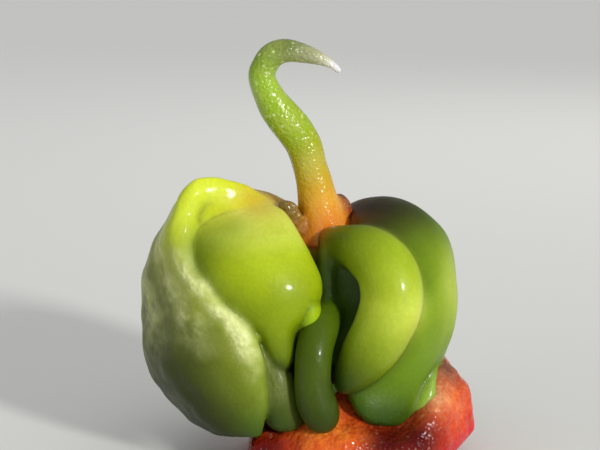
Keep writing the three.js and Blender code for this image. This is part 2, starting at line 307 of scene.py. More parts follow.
# soft patches and fine specks in the skin, sizes in mm
def makeMottle():
    group, given, gives = newGroup(
        "skinMottle", {"Patch Size": 2.0, "Speck Size": 0.3}, ["Patches", "Blotches", "Specks"],
    )
    place = addNode(group, "ShaderNodeTexCoord").outputs["Object"]
    noiseRange = (0.34, 0.66)  # the noise between these becomes 0 to 1
    for size, share, result, detail in (
        ("Patch Size", 1.0, "Patches", 3.0), ("Patch Size", 0.4, "Blotches", 4.0),
        ("Speck Size", 1.0, "Specks", 2.0),
    ):
        scale = maths(group, "DIVIDE", perMetre / share, given.outputs[size])
        tex = addNode(group, "ShaderNodeTexNoise", {"Vector": place, "Scale": scale, "Detail": detail})
        group.links.new(spread(group, tex.outputs["Fac"], *noiseRange), gives.inputs[result])
    return group


# streaks that run along a lobe, by its flow map
def makeFibres():
    group, given, gives = newGroup("skinFibres", {"Across": 40.0, "Along": 4.0}, ["Fibres", "Bands"])
    flow = addNode(group, "ShaderNodeAttribute", attribute_name="flow").outputs["Vector"]
    parts = addNode(group, "ShaderNodeSeparateXYZ", {"Vector": flow})
    noiseRange = (0.35, 0.65)
    for factor, result in ((1.0, "Fibres"), (0.25, "Bands")):
        x = maths(
            group, "MULTIPLY", parts.outputs["X"],
            maths(group, "MULTIPLY", given.outputs["Across"], factor),
        )
        y = maths(
            group, "MULTIPLY", parts.outputs["Y"],
            maths(group, "MULTIPLY", given.outputs["Along"], factor * 2),
        )
        place = addNode(group, "ShaderNodeCombineXYZ", {"X": x, "Y": y, "Z": factor * 7.0})
        tex = addNode(
            group, "ShaderNodeTexNoise",
            {"Vector": place.outputs["Vector"], "Scale": 1.0, "Detail": 3.0},
        )
        group.links.new(spread(group, tex.outputs["Fac"], *noiseRange), gives.inputs[result])
    return group


# round wet cells, and a mask of a few of them where glints are painted, size in mm
def makeCells():
    group, given, gives = newGroup("wetCells", {"Cell Size": 0.25}, ["Domes", "Glints"])
    place = addNode(group, "ShaderNodeTexCoord").outputs["Object"]
    scale = maths(group, "DIVIDE", perMetre, given.outputs["Cell Size"])
    cells = addNode(group, "ShaderNodeTexVoronoi", {"Vector": place, "Scale": scale}, feature="SMOOTH_F1")
    group.links.new(spread(group, cells.outputs["Distance"], 0.75, 0.05), gives.inputs["Domes"])
    shade = addNode(group, "ShaderNodeSeparateColor", {"Color": cells.outputs["Color"]})
    group.links.new(spread(group, shade.outputs["Red"], 0.72, 0.95), gives.inputs["Glints"])
    return group


mottleGroup, fibreGroup, cellGroup = makeMottle(), makeFibres(), makeCells()


def useGroup(tree, group, inputs):
    node = addNode(tree, "ShaderNodeGroup", node_tree=group)
    for key, value in inputs.items():
        node.inputs[key].default_value = value
    return node.outputs


# colour of a stop list at places t
def tintAt(stops, t):
    places = [place for place, _ in stops]
    colours = np.array([paint(*colour) for _, colour in stops])
    return np.stack([np.interp(t, places, colours[:, i]) for i in range(4)], -1)


# painted colour and a silvery film at each point of one part; the film is partly the skin's own paleness
# and partly painted sheen and highlights
def paintPart(look, values):
    t, across = values["along"], values["across"]
    # shares of the way from the outer side to the inner one where the colour and the silvery film, partly
    # painted sheen, change
    innerFrom, innerWidth = 0.4, 0.3
    filmAndSheenTo, filmAndSheenWidth = 0.6, 0.2
    tint = tintAt(look["along"], t)
    if "inner" in look:
        share = np.clip((values["inside"] - innerFrom) / innerWidth, 0, 1)[..., None]
        tint = tint + share * (tintAt(look["inner"], t) - tint)
    if "lip" in look:
        width, stops = look["lip"]
        share = np.exp(-((across / width) ** 2))[..., None]
        tint = tint + share * (tintAt(stops, t) - tint)
    filmAndSheen = np.zeros(t.shape)
    fadeLength = 0.125  # share of the lobe over which a streak of the silvery film and its painted sheen begins and ends
    for place, width, start, end, height in look.get("filmAndSheen", ()):
        ends = np.clip(np.minimum(t - start, end - t) / fadeLength, 0, 1)
        filmAndSheen += height * np.exp(-(((across - place) / width) ** 2)) * ends
    if "filmAndSheen" in look:
        filmAndSheen *= np.clip((filmAndSheenTo - values["inside"]) / filmAndSheenWidth, 0, 1)
    return tint, filmAndSheen


# melts overlapping parts into one skin, with soft creases where spec["soft"] says
def meltParts(name, spec):
    softShare = 1.5  # how soon a filled hollow loses the painted shade in its crease
    corners, faces, painted = [], [], []
    for part in spec["parts"].values():
        make = lobeGrid if "levels" in part else fleshGrid if "corners" in part else rodGrid
        grid, values = make(part)
        if make is not fleshGrid:
            grid = uneven(grid, part.get("relief", []))
        faces += gridFaces(grid, sum(len(points) for points in corners))
        tint, filmAndSheen = paintPart(part["look"], values)
        corners.append(grid.reshape(-1, 3))
        tree = kdtree.KDTree(len(corners[-1]))
        for i, point in enumerate(corners[-1].tolist()):
            tree.insert(point, i)
        tree.balance()
        flow = np.stack([values["across"], values["along"], np.zeros(filmAndSheen.shape)], -1)
        painted.append((tree, tint.reshape(-1, 4), filmAndSheen.ravel(), flow.reshape(-1, 3)))
    raw = bpy.data.meshes.new("raw")
    raw.from_pydata(np.concatenate(corners).tolist(), [], faces)
    rawObject = bpy.data.objects.new("raw", raw)
    bpy.context.collection.objects.link(rawObject)
    remesh = rawObject.modifiers.new("melt", "REMESH")
    remesh.mode, remesh.voxel_size = "VOXEL", spec["voxel"]
    mesh = bpy.data.meshes.new_from_object(rawObject.evaluated_get(bpy.context.evaluated_depsgraph_get()))
    bpy.data.objects.remove(rawObject)
    bpy.data.meshes.remove(raw)

    points, softness = softenCreases(mesh, spec)
    near = np.array([[tree.find(point)[1:] for point in points.tolist()] for tree, *_ in painted])
    index, gap = near[..., 0].astype(int), near[..., 1]
    weight = np.exp((gap.min(0) - gap) / spec["blend"])
    weight /= weight.sum(0)
    tint = sum(w[:, None] * part[1][i] for w, i, part in zip(weight, index, painted))
    filmAndSheen = sum(w * part[2][i] for w, i, part in zip(weight, index, painted))
    closest = gap.argmin(0)
    flow = np.zeros((len(points), 3))
    for number, part in enumerate(painted):
        mine = closest == number
        flow[mine] = part[3][index[number][mine]]
    # painted shade: the tint darkens along the creases between parts, less where hollows are filled
    if "creaseShade" in spec:
        nearest = np.sort(gap, axis=0)
        crease = np.exp((nearest[0] - nearest[1]) / spec["creaseWidth"])
        crease *= np.clip(1 - softShare * softness, 0, 1)
        tint = tint * (1 - spec["creaseShade"] * crease[:, None])
    for place, radius, colour, share in spec.get("spots", ()):
        far = ((points - place) ** 2).sum(1) / radius**2
        tint = tint + (share * np.exp(-far))[:, None] * (np.array(paint(*colour)) - tint)
    giveValues(mesh, {"tint": tint, "filmAndSheen": filmAndSheen, "flow": flow})
    points[:, 2] = np.maximum(points[:, 2], 0)
    mesh.vertices.foreach_set("co", (points * mm).astype(np.float32).ravel())
    mesh.update()
    print(name, len(points), "points")
    return newPiece(name, mesh)


# fills hollows between parts: little everywhere, more near each soft place (x, y, z, radius, strength)
def softenCreases(mesh, spec):
    smoothings = 2  # before and after the filling
    move = 0.5  # share of the way that a point moves at a time
    count = len(mesh.vertices)
    points = np.empty(count * 3, np.float32)
    mesh.vertices.foreach_get("co", points)
    points = points.reshape(-1, 3).astype(float)
    ends = np.empty(len(mesh.edges) * 2, np.int32)
    mesh.edges.foreach_get("vertices", ends)
    a, b = ends.reshape(-1, 2).T
    start, finish = np.concatenate([a, b]), np.concatenate([b, a])
    neighbours = np.bincount(start, minlength=count)[:, None]
    out = np.empty(count * 3, np.float32)

    def towardsMean():
        total = [np.bincount(start, points[finish, i], minlength=count) for i in range(3)]
        return np.stack(total, -1) / neighbours - points

    for _ in range(smoothings):
        points = points + move * towardsMean()
    strength = np.full(count, spec["crease"])
    for x, y, z, radius, most in spec["soft"]:
        far = ((points - (x, y, z)) ** 2).sum(1) / radius**2
        strength = np.maximum(strength, most * np.exp(-far))
    roundsBetweenNormals = 10
    for turn in range(spec["rounds"]):
        if turn % roundsBetweenNormals == 0:
            mesh.vertices.foreach_set("co", points.astype(np.float32).ravel())
            mesh.update()
            mesh.vertex_normals.foreach_get("vector", out)
            normals = out.reshape(-1, 3).astype(float)
        rise = (towardsMean() * normals).sum(1)
        points = points + (move * strength * np.maximum(rise, 0))[:, None] * normals
    for _ in range(smoothings):
        points = points + move * towardsMean()
    return points, strength


# moist translucent tissue: look holds its numbers, colour, height and rough are sockets
def tissue(material, look, colour, height, rough):
    tree = material.node_tree
    shader = tree.nodes["Principled BSDF"]
    tree.links.new(colour, shader.inputs["Base Color"])
    tree.links.new(rough, shader.inputs["Roughness"])
    bump = addNode(
        tree, "ShaderNodeBump", {"Height": height, "Strength": 1.0, "Distance": look["bump"] * mm},
    )
    tree.links.new(bump.outputs["Normal"], shader.inputs["Normal"])
    shader.inputs["IOR"].default_value = 1.36
    shader.inputs["Specular IOR Level"].default_value = look["shine"]
    shader.inputs["Coat Weight"].default_value = look["wet"]
    shader.inputs["Coat Roughness"].default_value = look["wetRough"]
    shader.inputs["Subsurface Weight"].default_value = look["glow"]
    shader.inputs["Subsurface Radius"].default_value = look["glowDepth"]
    shader.inputs["Subsurface Scale"].default_value = look["glowScale"] * mm


# skin of the green lobes: painted colour, soft patches, and a silvery film in streaks that is partly
# painted sheen and highlights
def lobeSkin(name, look):
    material = bpy.data.materials.new(name)
    material.use_nodes = True
    tree = material.node_tree
    mottle = useGroup(tree, mottleGroup, {"Patch Size": look["patchSize"], "Speck Size": look["speckSize"]})
    fibres = useGroup(tree, fibreGroup, {"Across": look["fibres"][0], "Along": look["fibres"][1]})
    colour = addNode(tree, "ShaderNodeAttribute", attribute_name="tint").outputs["Color"]
    patchShare = maths(tree, "MULTIPLY", mottle["Patches"], look["patches"][0])
    colour = mixColours(tree, patchShare, colour, paint(*look["patches"][1]), "MULTIPLY")
    specks = maths(tree, "MULTIPLY", mottle["Specks"], look["specks"])
    colour = mixColours(tree, specks, colour, paint(*look["speckColour"]), "MULTIPLY")
    cells = useGroup(tree, cellGroup, {"Cell Size": look["beadSize"]})
    bands = maths(tree, "MULTIPLY", fibres["Bands"], look["filmAndSheenBands"])
    threads = maths(tree, "MULTIPLY", fibres["Fibres"], look["filmAndSheenFibres"])
    patchy = maths(tree, "MULTIPLY", mottle["Blotches"], look["filmAndSheenBlotches"])
    broken = maths(tree, "ADD", maths(tree, "ADD", bands, threads), patchy)
    filmAndSheen = maths(tree, "MULTIPLY", pointValue(tree, "filmAndSheen"), broken)
    # the silvery film is partly painted sheen: a pale colour in streaks, brightest along the hood's lip as
    # a painted line of highlights
    colour = mixColours(tree, filmAndSheen, colour, paint(*look["filmAndSheenColour"]))
    domes = maths(tree, "MULTIPLY", cells["Domes"], look["beadDomes"])
    beads = maths(tree, "MULTIPLY", maths(tree, "ADD", fibres["Fibres"], domes), filmAndSheen)
    height = maths(tree, "ADD", mottle["Specks"], maths(tree, "MULTIPLY", beads, look["beadHeight"]))
    rough = spread(tree, mottle["Patches"], 0.0, 1.0, *look["rough"])
    tissue(material, look, colour, height, rough)
    return material


# gives a piece its skin, and ties it to the node that it covers
def dress(piece, material, node):
    piece.data.materials.append(material)
    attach(piece, "root")
    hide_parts(node)


greenLook = {
    "patchSize": 3.0,
    "speckSize": 0.25,
    "beadSize": 0.32,
    "beadDomes": 2.0,
    "beadHeight": 4.0,
    "specks": 0.12,
    "speckColour": (170, 190, 120),
    "patches": (0.45, (218, 218, 70)),
    "fibres": (26.0, 10.0),  # streaks across and along a lobe
    "filmAndSheenColour": (216, 222, 150),
    "filmAndSheenBands": 0.35,
    "filmAndSheenFibres": 0.3,
    "filmAndSheenBlotches": 0.6,
    "bump": 0.008,
    "rough": (0.37, 0.49),
    "shine": 0.25,
    "wet": 0.13,
    "wetRough": 0.13,
    "glow": 0.3,
    "glowDepth": (0.8, 1.0, 0.2),
    "glowScale": 0.6,
}

# left: the hood with its rolled lip, the bulge it wraps and the fold below
# rows: relief is height, size and seed; the silvery film, partly painted sheen, is place and width across,
# start, end and strength;
# soft is a place, radius and strength; spots are a place, a radius, a colour and its share
leftLobes = {
    "creaseWidth": 0.12,
    "creaseShade": 0.45,
    "voxel": 0.13,
    "blend": 0.12,
    "rounds": 160,
    "crease": 0.004,
    "soft": [
        [-2.4, -1.5, 16.8, 1.3, 1.0],
        [-3.9, -1.9, 17.2, 1.0, 0.8],
        [-5.3, -1.9, 17.6, 0.9, 0.6],
        [0.0, -4.6, 9.4, 0.6, 0.3],
    ],
    "parts": {
        "hood": {
            "levels": [
                [[-1.4, 0.0, 16.2], [-1.7, 1.9, 16.0], [-0.4, 3.8, 15.2]],
                [[-3.9, -1.3, 17.4], [-4.2, 1.7, 17.1], [-0.9, 4.9, 15.1]],
                [[-6.0, -2.2, 17.9], [-6.8, 1.2, 16.8], [-1.6, 6.5, 14.2]],
                [[-7.0, -2.8, 16.2], [-8.6, 0.8, 15.0], [-2.0, 7.6, 12.6]],
                [[-6.8, -3.8, 14.2], [-9.6, 0.4, 12.6], [-2.6, 8.2, 10.6]],
                [[-5.1, -5.0, 12.1], [-9.7, -0.2, 10.3], [-3.0, 7.9, 8.5]],
                [[-3.3, -5.5, 10.0], [-9.6, -0.8, 7.7], [-2.4, 6.9, 6.6]],
                [[-2.4, -5.5, 7.4], [-8.4, -1.8, 5.6], [-1.4, 5.4, 5.0]],
                [[-2.4, -5.2, 4.7], [-6.4, -2.7, 4.0], [-1.2, 3.4, 3.8]],
                [[-2.6, -4.8, 3.3], [-5.0, -2.4, 3.0], [-2.8, 1.2, 3.2]],
            ],
            "rings": 220,
            "columns": 130,
            "cap": 0.04,
            "edgeCap": 0.045,
            "half": 0.6,
            "bead": [0.0, 0.15, 0.4, 0.35, 0.2, 0.1, 0.1, 0.0, 0.0, 0.0],
            "beadWidth": 0.12,
            "relief": [(0.2, 3.2, 3), (0.1, 1.2, 4), (0.04, 0.6, 5)],
            "look": {
                # the hood's colour from top to bottom; the dark stops from 0.65 down are partly painted
                # shade
                "along": [
                    (0.0, (208, 166, 60)), (0.12, (196, 172, 50)), (0.25, (160, 166, 50)),
                    (0.45, (100, 108, 28)), (0.65, (64, 72, 14)), (0.85, (44, 54, 10)),
                    (1.0, (36, 48, 10)),
                ],
                "inner": [
                    (0.0, (215, 190, 80)), (0.15, (216, 228, 70)), (0.4, (205, 225, 60)),
                    (1.0, (120, 140, 50)),
                ],
                "lip": (
                    0.13,
                    [
                        (0.0, (214, 200, 80)), (0.15, (226, 236, 60)), (0.32, (214, 228, 66)),
                        (0.5, (190, 202, 86)), (0.72, (148, 164, 48)), (0.88, (104, 126, 34)),
                        (1.0, (64, 92, 30)),
                    ],
                ),
                "filmAndSheen": [
                    (0.03, 0.025, 0.38, 0.8, 1.3), (0.14, 0.05, 0.26, 0.72, 0.8),
                    (0.3, 0.07, 0.2, 0.7, 0.5), (0.47, 0.12, 0.2, 0.75, 0.4),
                ],
            },
        },
        "crest": {
            "stations": [
                [-6.9, -1.9, 15.6, 0.7, 0.7],
                [-6.3, -1.6, 16.7, 0.8, 0.8],
                [-5.2, -1.25, 17.1, 0.85, 0.85],
                [-3.9, -0.85, 16.75, 0.88, 0.85],
                [-2.6, -0.5, 16.4, 0.75, 0.75],
                [-1.6, -0.2, 16.05, 0.5, 0.5],
            ],
            "rings": 60,
            "sides": 32,
            "cap": 0.1,
            "look": {
                "along": [
                    (0.0, (214, 226, 34)), (0.5, (220, 224, 50)), (0.8, (214, 182, 58)),
                    (1.0, (200, 150, 48)),
                ],
            },
        },
        "bulge": {
            "stations": [
                [-2.7, -0.9, 17.1, 0.95, 0.7],
                [-3.35, -1.9, 16.3, 2.4, 1.35],
                [-3.55, -2.6, 15.4, 3.2, 1.95],
                [-3.3, -3.05, 14.1, 3.65, 2.5],
                [-2.75, -3.4, 12.7, 3.68, 2.6],
                [-2.35, -3.7, 11.4, 3.1, 2.3],
                [-1.9, -4.1, 10.2, 1.5, 1.75],
                [-1.65, -4.4, 9.3, 1.08, 1.3],
                [-1.5, -4.6, 8.4, 0.8, 1.0],
                [-1.25, -4.7, 7.5, 0.25, 0.4],
            ],
            "rings": 130,
            "sides": 110,
            "cap": 0.06,
            "level": True,
            "relief": [(0.06, 2.4, 8)],
            "look": {
                "along": [
                    (0.0, (226, 224, 120)), (0.12, (212, 220, 96)), (0.3, (176, 194, 30)),
                    (0.5, (144, 164, 10)), (0.78, (124, 144, 12)), (1.0, (58, 80, 14)),
                ],
            },
        },
        "bump": {
            "stations": [
                [-0.1, -3.7, 12.4, 0.85, 1.0],
                [0.2, -4.2, 11.2, 0.72, 1.0],
                [0.15, -4.3, 10.4, 0.62, 0.8],
                [0.0, -4.0, 9.6, 0.5, 0.6],
                [-0.2, -3.7, 9.0, 0.35, 0.45],
            ],
            "rings": 40,
            "sides": 32,
            "cap": 0.25,
            "look": {
                "along": [
                    (0.0, (168, 194, 20)), (0.45, (158, 188, 20)), (0.75, (76, 112, 24)),
                    (1.0, (44, 74, 20)),
                ],
            },
        },
        "fold": {
            "stations": [
                [-3.9, -4.1, 10.6, 0.3, 0.4],
                [-3.0, -4.5, 9.1, 0.55, 0.6],
                [-2.3, -4.5, 8.0, 0.9, 0.85],
                [-1.75, -4.4, 6.3, 1.22, 1.15],
                [-1.35, -4.2, 4.7, 1.28, 1.2],
                [-1.25, -4.1, 3.4, 1.05, 0.95],
            ],
            "rings": 70,
            "sides": 48,
            "cap": 0.12,
            "relief": [(0.05, 1.6, 12)],
            "look": {
                "along": [
                    (0.0, (60, 80, 16)), (0.3, (90, 106, 30)), (0.5, (88, 102, 32)),
                    (0.8, (72, 86, 26)), (1.0, (50, 68, 20)),
                ],
                "filmAndSheen": [(0.5, 0.3, 0.2, 0.7, 0.2)],
            },
        },
    },
    "spots": [
        [[-3.0, -1.8, 17.6], 1.3, (218, 176, 66), 0.65],
        # painted shade: the lip's shadow on the bulge's upper left, beside the crease
        [[-6.0, -3.8, 14.2], 1.9, (86, 108, 10), 0.85],
        [[-4.4, -3.4, 15.9], 1.0, (128, 152, 20), 0.4],
        [[-4.4, -4.2, 11.2], 1.4, (108, 134, 16), 0.7],
        [[-2.3, -5.9, 3.4], 1.5, (50, 82, 28), 0.7],
        # painted shade in the notch under the bump
        [[-0.3, -5.0, 9.4], 0.8, (36, 62, 14), 0.9],
    ],
    "look": greenLook,
}

# right: the tongue and the lobe that arch round a dark hollow, with the wide lobe outside them
rightLobes = {
    "creaseWidth": 0.22,
    "creaseShade": 0.5,
    "voxel": 0.13,
    "blend": 0.15,
    "rounds": 160,
    "crease": 0.01,
    "soft": [
        [1.6, -1.8, 14.8, 1.0, 1.0],
        [3.2, -1.4, 15.5, 1.4, 1.0],
        [4.4, -1.9, 15.3, 1.2, 0.9],
        [5.4, -2.6, 14.5, 0.9, 0.4],
        [6.8, -3.4, 12.4, 1.6, 0.3],
        [1.4, -2.8, 10.2, 1.0, 0.6],
    ],
    "parts": {
        "tongue": {
            "stations": [
                [1.4, -0.6, 10.4, 0.8, 0.9],
                [1.3, -2.2, 10.4, 0.95, 1.0],
                [0.9, -3.8, 10.1, 1.2, 1.2],
                [0.5, -5.1, 8.7, 1.15, 1.2],
                [0.4, -5.3, 6.7, 1.17, 1.25],
                [0.85, -5.2, 5.1, 1.2, 1.3],
                [1.45, -5.0, 3.75, 0.85, 0.95],
            ],
            "rings": 90,
            "sides": 56,
            "cap": 0.1,
            "relief": [(0.06, 1.8, 15)],
            "look": {
                "along": [
                    (0.0, (60, 84, 12)), (0.3, (76, 98, 12)), (0.6, (72, 90, 12)), (1.0, (46, 62, 10)),
                ],
            },
        },
        "column": {
            "stations": [
                [2.0, -1.1, 15.1, 0.7, 0.7],
                [1.45, -1.6, 14.2, 0.7, 0.7],
                [1.3, -1.8, 12.9, 0.66, 0.7],
                [1.35, -2.0, 11.4, 0.66, 0.7],
                [1.5, -2.3, 10.1, 0.7, 0.8],
            ],
            "rings": 60,
            "sides": 32,
            "cap": 0.1,
            "look": {
                "along": [
                    (0.0, (120, 140, 48)), (0.3, (92, 116, 42)), (0.7, (66, 96, 34)),
                    (1.0, (64, 100, 34)),
                ],
            },
        },
        "innerLobe": {
            "stations": [
                [1.0, 0.4, 14.7, 0.6, 0.7],
                [2.2, -1.4, 14.7, 1.1, 1.15],
                [3.7, -2.9, 14.4, 1.65, 1.6],
                [4.85, -3.7, 13.4, 1.88, 1.85],
                [5.15, -4.2, 11.7, 1.9, 1.9],
                [4.6, -4.4, 9.9, 1.82, 1.8],
                [3.6, -4.5, 8.3, 1.6, 1.6],
                [2.6, -4.4, 6.9, 1.05, 1.15],
                [2.0, -4.2, 6.0, 0.45, 0.6],
            ],
            "rings": 130,
            "sides": 80,
            "cap": 0.06,
            "relief": [(0.06, 2.2, 21)],
            "look": {
                # the inner lobe's green; the bright middle stops are partly painted light and the dark
                # stops towards the tip partly painted shade
                "along": [
                    (0.0, (80, 88, 18)), (0.18, (100, 118, 16)), (0.33, (156, 178, 34)),
                    (0.52, (182, 200, 56)), (0.75, (116, 138, 18)), (0.9, (60, 80, 12)),
                    (1.0, (38, 54, 10)),
                ],
            },
        },
        "recess": {
            "levels": [
                [[0.8, -1.7, 14.5], [2.3, -1.5, 14.3], [3.8, -1.8, 13.8]],
                [[0.8, -2.1, 13.2], [2.4, -1.7, 12.5], [4.2, -2.0, 12.2]],
                [[1.0, -2.5, 11.2], [2.5, -2.0, 10.4], [4.2, -2.2, 10.4]],
                [[1.1, -3.1, 9.2], [2.4, -2.7, 8.5], [3.6, -2.8, 8.4]],
                [[1.5, -3.5, 6.6], [2.3, -3.2, 6.2], [3.2, -3.2, 6.4]],
            ],
            "rings": 60,
            "columns": 40,
            "cap": 0.06,
            "half": 0.45,
            "relief": [(0.08, 1.8, 31)],
            "look": {"along": [(0.0, (92, 116, 40)), (0.3, (72, 100, 32)), (1.0, (52, 84, 24))]},
        },
        "outerLobe": {
            "levels": [
                [[2.7, -0.2, 15.6], [2.7, 1.9, 15.7], [2.3, 4.2, 14.9]],
                [[3.8, -1.7, 14.9], [5.3, 1.4, 16.0], [2.4, 5.8, 14.4]],
                [[4.9, -2.6, 14.1], [7.1, 1.2, 15.2], [3.2, 7.3, 13.6]],
                [[5.7, -3.2, 13.1], [8.45, 1.0, 13.8], [4.2, 8.1, 12.0]],
                [[6.1, -3.7, 11.9], [8.9, 0.8, 11.2], [4.6, 8.2, 10.0]],
                [[6.0, -4.0, 10.2], [8.7, 0.5, 8.9], [4.0, 7.7, 8.0]],
                [[5.0, -4.0, 8.4], [8.1, 0.0, 7.0], [3.1, 6.5, 6.1]],
                [[2.6, -3.9, 6.2], [7.3, -0.8, 5.2], [2.8, 5.0, 4.7]],
                [[2.8, -4.2, 5.0], [6.8, -1.2, 3.9], [3.1, 4.0, 3.9]],
                [[3.7, -4.2, 3.8], [6.1, -1.5, 3.2], [3.5, 2.9, 3.4]],
            ],
            "rings": 180,
            "columns": 110,
            "cap": 0.06,
            "half": 0.7,
            "relief": [(0.12, 3.2, 41), (0.03, 1.2, 42)],
            "look": {
                "along": [
                    (0.0, (110, 70, 26)), (0.12, (62, 66, 16)), (0.3, (94, 122, 16)),
                    (0.5, (120, 152, 12)), (0.72, (102, 134, 12)), (0.88, (58, 86, 12)),
                    (1.0, (36, 60, 14)),
                ],
                "inner": [(0.0, (100, 110, 40)), (1.0, (90, 120, 40))],
            },
        },
        "ridge": {
            "stations": [
                [8.25, -1.2, 7.6, 0.16, 0.2],
                [7.85, -2.05, 6.4, 0.38, 0.24],
                [7.5, -2.7, 5.1, 0.52, 0.28],
                [7.0, -3.05, 3.95, 0.34, 0.24],
            ],
            "rings": 40,
            "sides": 24,
            "cap": 0.2,
            "look": {"along": [(0.0, (130, 162, 44)), (1.0, (150, 178, 66))]},
        },
        "backLobe": {
            "levels": [
                [[-1.2, 2.8, 14.7], [0.8, 3.3, 15.0], [2.8, 2.8, 14.7]],
                [[-2.6, 4.8, 13.8], [1.0, 6.5, 14.0], [4.2, 5.0, 13.9]],
                [[-3.8, 5.7, 12.4], [1.2, 7.6, 12.3], [5.6, 5.7, 12.3]],
                [[-4.6, 5.8, 10.2], [1.2, 8.0, 10.2], [6.4, 5.8, 10.2]],
                [[-4.4, 5.4, 8.2], [1.3, 7.7, 8.0], [6.6, 5.0, 8.2]],
                [[-3.8, 4.4, 6.3], [1.5, 6.6, 6.0], [6.4, 3.8, 6.2]],
                [[-2.6, 3.0, 5.0], [1.8, 4.8, 4.6], [5.8, 2.2, 4.9]],
                [[-0.8, 1.8, 4.2], [2.0, 2.6, 3.8], [4.8, 1.0, 4.1]],
            ],
            "rings": 120,
            "columns": 80,
            "cap": 0.06,
            "half": 0.5,
            "relief": [(0.12, 2.8, 51)],
            "look": {"along": [(0.0, (128, 130, 50)), (0.4, (118, 145, 40)), (1.0, (92, 118, 36))]},
        },
        "stalk": {
            "stations": [
                [1.1, 1.6, 4.4, 1.5, 1.5],
                [1.1, 1.6, 7.5, 1.5, 1.5],
                [1.1, 1.6, 11.0, 1.9, 1.7],
                [1.0, 1.4, 13.6, 2.5, 2.1],
                [1.0, 1.2, 14.9, 2.1, 1.8],
            ],
            "rings": 50,
            "sides": 48,
            "cap": 0.06,
            "relief": [(0.08, 1.6, 61)],
            "look": {
                "along": [
                    (0.0, (190, 140, 80)), (0.4, (110, 125, 55)), (0.85, (140, 125, 50)),
                    (1.0, (200, 120, 40)),
                ],
            },
        },
    },
    "spots": [
        [[1.2, -0.6, 15.2], 1.2, (204, 130, 40), 0.75],
        [[2.9, 0.6, 16.2], 1.3, (125, 56, 22), 0.7],
        # painted light: the outer lobe's right side, lighter where the key falls
        [[9.2, -0.4, 11.6], 2.6, (190, 206, 60), 0.7],
        # painted shade beside the crease between the inner and the outer lobe
        [[7.3, -3.6, 12.8], 1.0, (84, 118, 12), 0.5],
        # painted shade: the outer lobe's top, darkened as in shadow
        [[4.2, 0.8, 16.8], 2.2, (30, 20, 2), 0.95],
        [[6.4, 1.6, 16.4], 1.6, (44, 46, 6), 0.7],
        # painted highlight on the inner lobe's right side, where the key falls
        [[6.5, -5.4, 11.0], 1.5, (214, 224, 96), 0.6],
        # painted shade at the inner lobe's tip
        [[2.2, -5.4, 6.8], 1.2, (44, 68, 16), 0.6],
        [[7.6, -3.0, 4.6], 0.8, (150, 178, 64), 0.5],
    ],
    "look": greenLook,
}

# the hooked horn with the bud and the small scale at its foot
horn = {
    "creaseWidth": 0.15,
    "creaseShade": 0.25,
    "voxel": 0.07,
    "blend": 0.1,
    "rounds": 80,
    "crease": 0.15,
    "soft": [[1.6, 1.0, 15.6, 0.8, 0.8], [1.9, 0.8, 16.8, 0.9, 1.0], [2.2, 0.4, 16.0, 0.8, 0.8]],
    "parts": {
        "hook": {
            "stations": [
                [1.0, 1.4, 13.6, 1.9, 1.7],
                [1.0, 1.2, 14.8, 2.3, 2.0],
                [0.9, 0.8, 16.1, 1.55, 1.5],
                [0.7, 0.6, 17.2, 1.22, 1.22],
                [0.3, 0.4, 19.0, 1.1, 1.1],
                [-0.2, 0.2, 20.6, 1.14, 1.12],
                [-1.3, -0.2, 22.2, 1.12, 1.1],
                [-2.2, -0.5, 23.5, 0.93, 0.95],
                [-2.7, -0.7, 24.8, 0.83, 0.85],
                [-2.5, -0.8, 25.6, 0.81, 0.8],
                [-2.0, -0.9, 26.25, 0.78, 0.76],
                [-1.2, -1.0, 26.5, 0.7, 0.69],
                [-0.2, -1.1, 26.35, 0.57, 0.57],
                [0.8, -1.2, 26.05, 0.41, 0.42],
                [1.6, -1.25, 25.65, 0.27, 0.28],
                [2.1, -1.3, 25.2, 0.2, 0.2],
            ],
            "rings": 260,
            "sides": 72,
            "cap": 0.02,
            "relief": [(0.05, 1.4, 71)],
            "look": {
                "along": [
                    (0.0, (150, 80, 24)),
                    (0.07, (214, 104, 28)),
                    (0.14, (226, 138, 26)),
                    (0.2, (222, 158, 20)),
                    (0.27, (186, 164, 12)),
                    (0.36, (150, 172, 12)),
                    (0.52, (148, 182, 20)),
                    (0.64, (132, 158, 44)),
                    (0.74, (112, 126, 56)),
                    (0.86, (166, 166, 130)),
                    (0.95, (226, 222, 226)),
                ],
            },
        },
        "bud": {
            "stations": [
                [1.5, 1.0, 15.1, 0.7, 0.65],
                [1.95, 1.3, 15.8, 0.9, 0.85],
                [2.1, 1.5, 16.5, 0.8, 0.78],
                [2.3, 1.8, 17.1, 0.42, 0.4],
            ],
            "rings": 40,
            "sides": 40,
            "cap": 0.25,
            "relief": [(0.08, 0.9, 81)],
            "look": {"along": [(0.0, (196, 84, 18)), (0.5, (150, 46, 12)), (1.0, (96, 24, 10))]},
        },
        "scale": {
            "stations": [
                [-0.2, 0.0, 14.9, 0.6, 0.4],
                [-0.75, -0.5, 15.9, 0.66, 0.3],
                [-1.15, -0.7, 16.6, 0.55, 0.24],
                [-1.6, -0.6, 17.1, 0.2, 0.16],
            ],
            "rings": 80,
            "sides": 64,
            "cap": 0.12,
            "relief": [(0.1, 0.9, 91), (0.04, 0.35, 92)],
            "look": {"along": [(0.0, (176, 104, 26)), (0.5, (136, 104, 34)), (1.0, (108, 88, 36))]},
        },
    },
    "look": {
        "patchSize": 1.6,
        "speckSize": 0.2,
        "cellSize": 0.2,
        "pale": 0.12,
        "paleColour": (235, 235, 150),
        "glints": 0.6,
        "glintColour": (226, 238, 170),
        "pebblesStart": (0.25, 0.4),  # shares of the length
        "pebblesStop": (0.85, 0.7),
        "bumpGrows": (0.15, 0.4, 0.35, 1.0),  # from and to along the horn, and the share of bump there
        "bump": 0.045,
        "rough": (0.13, 0.28),
        "shine": 1.0,
        "wet": 0.15,
        "wetRough": 0.15,
        "glow": 0.4,
        "glowDepth": (1.0, 0.9, 0.3),
        "glowScale": 0.6,
    },
}


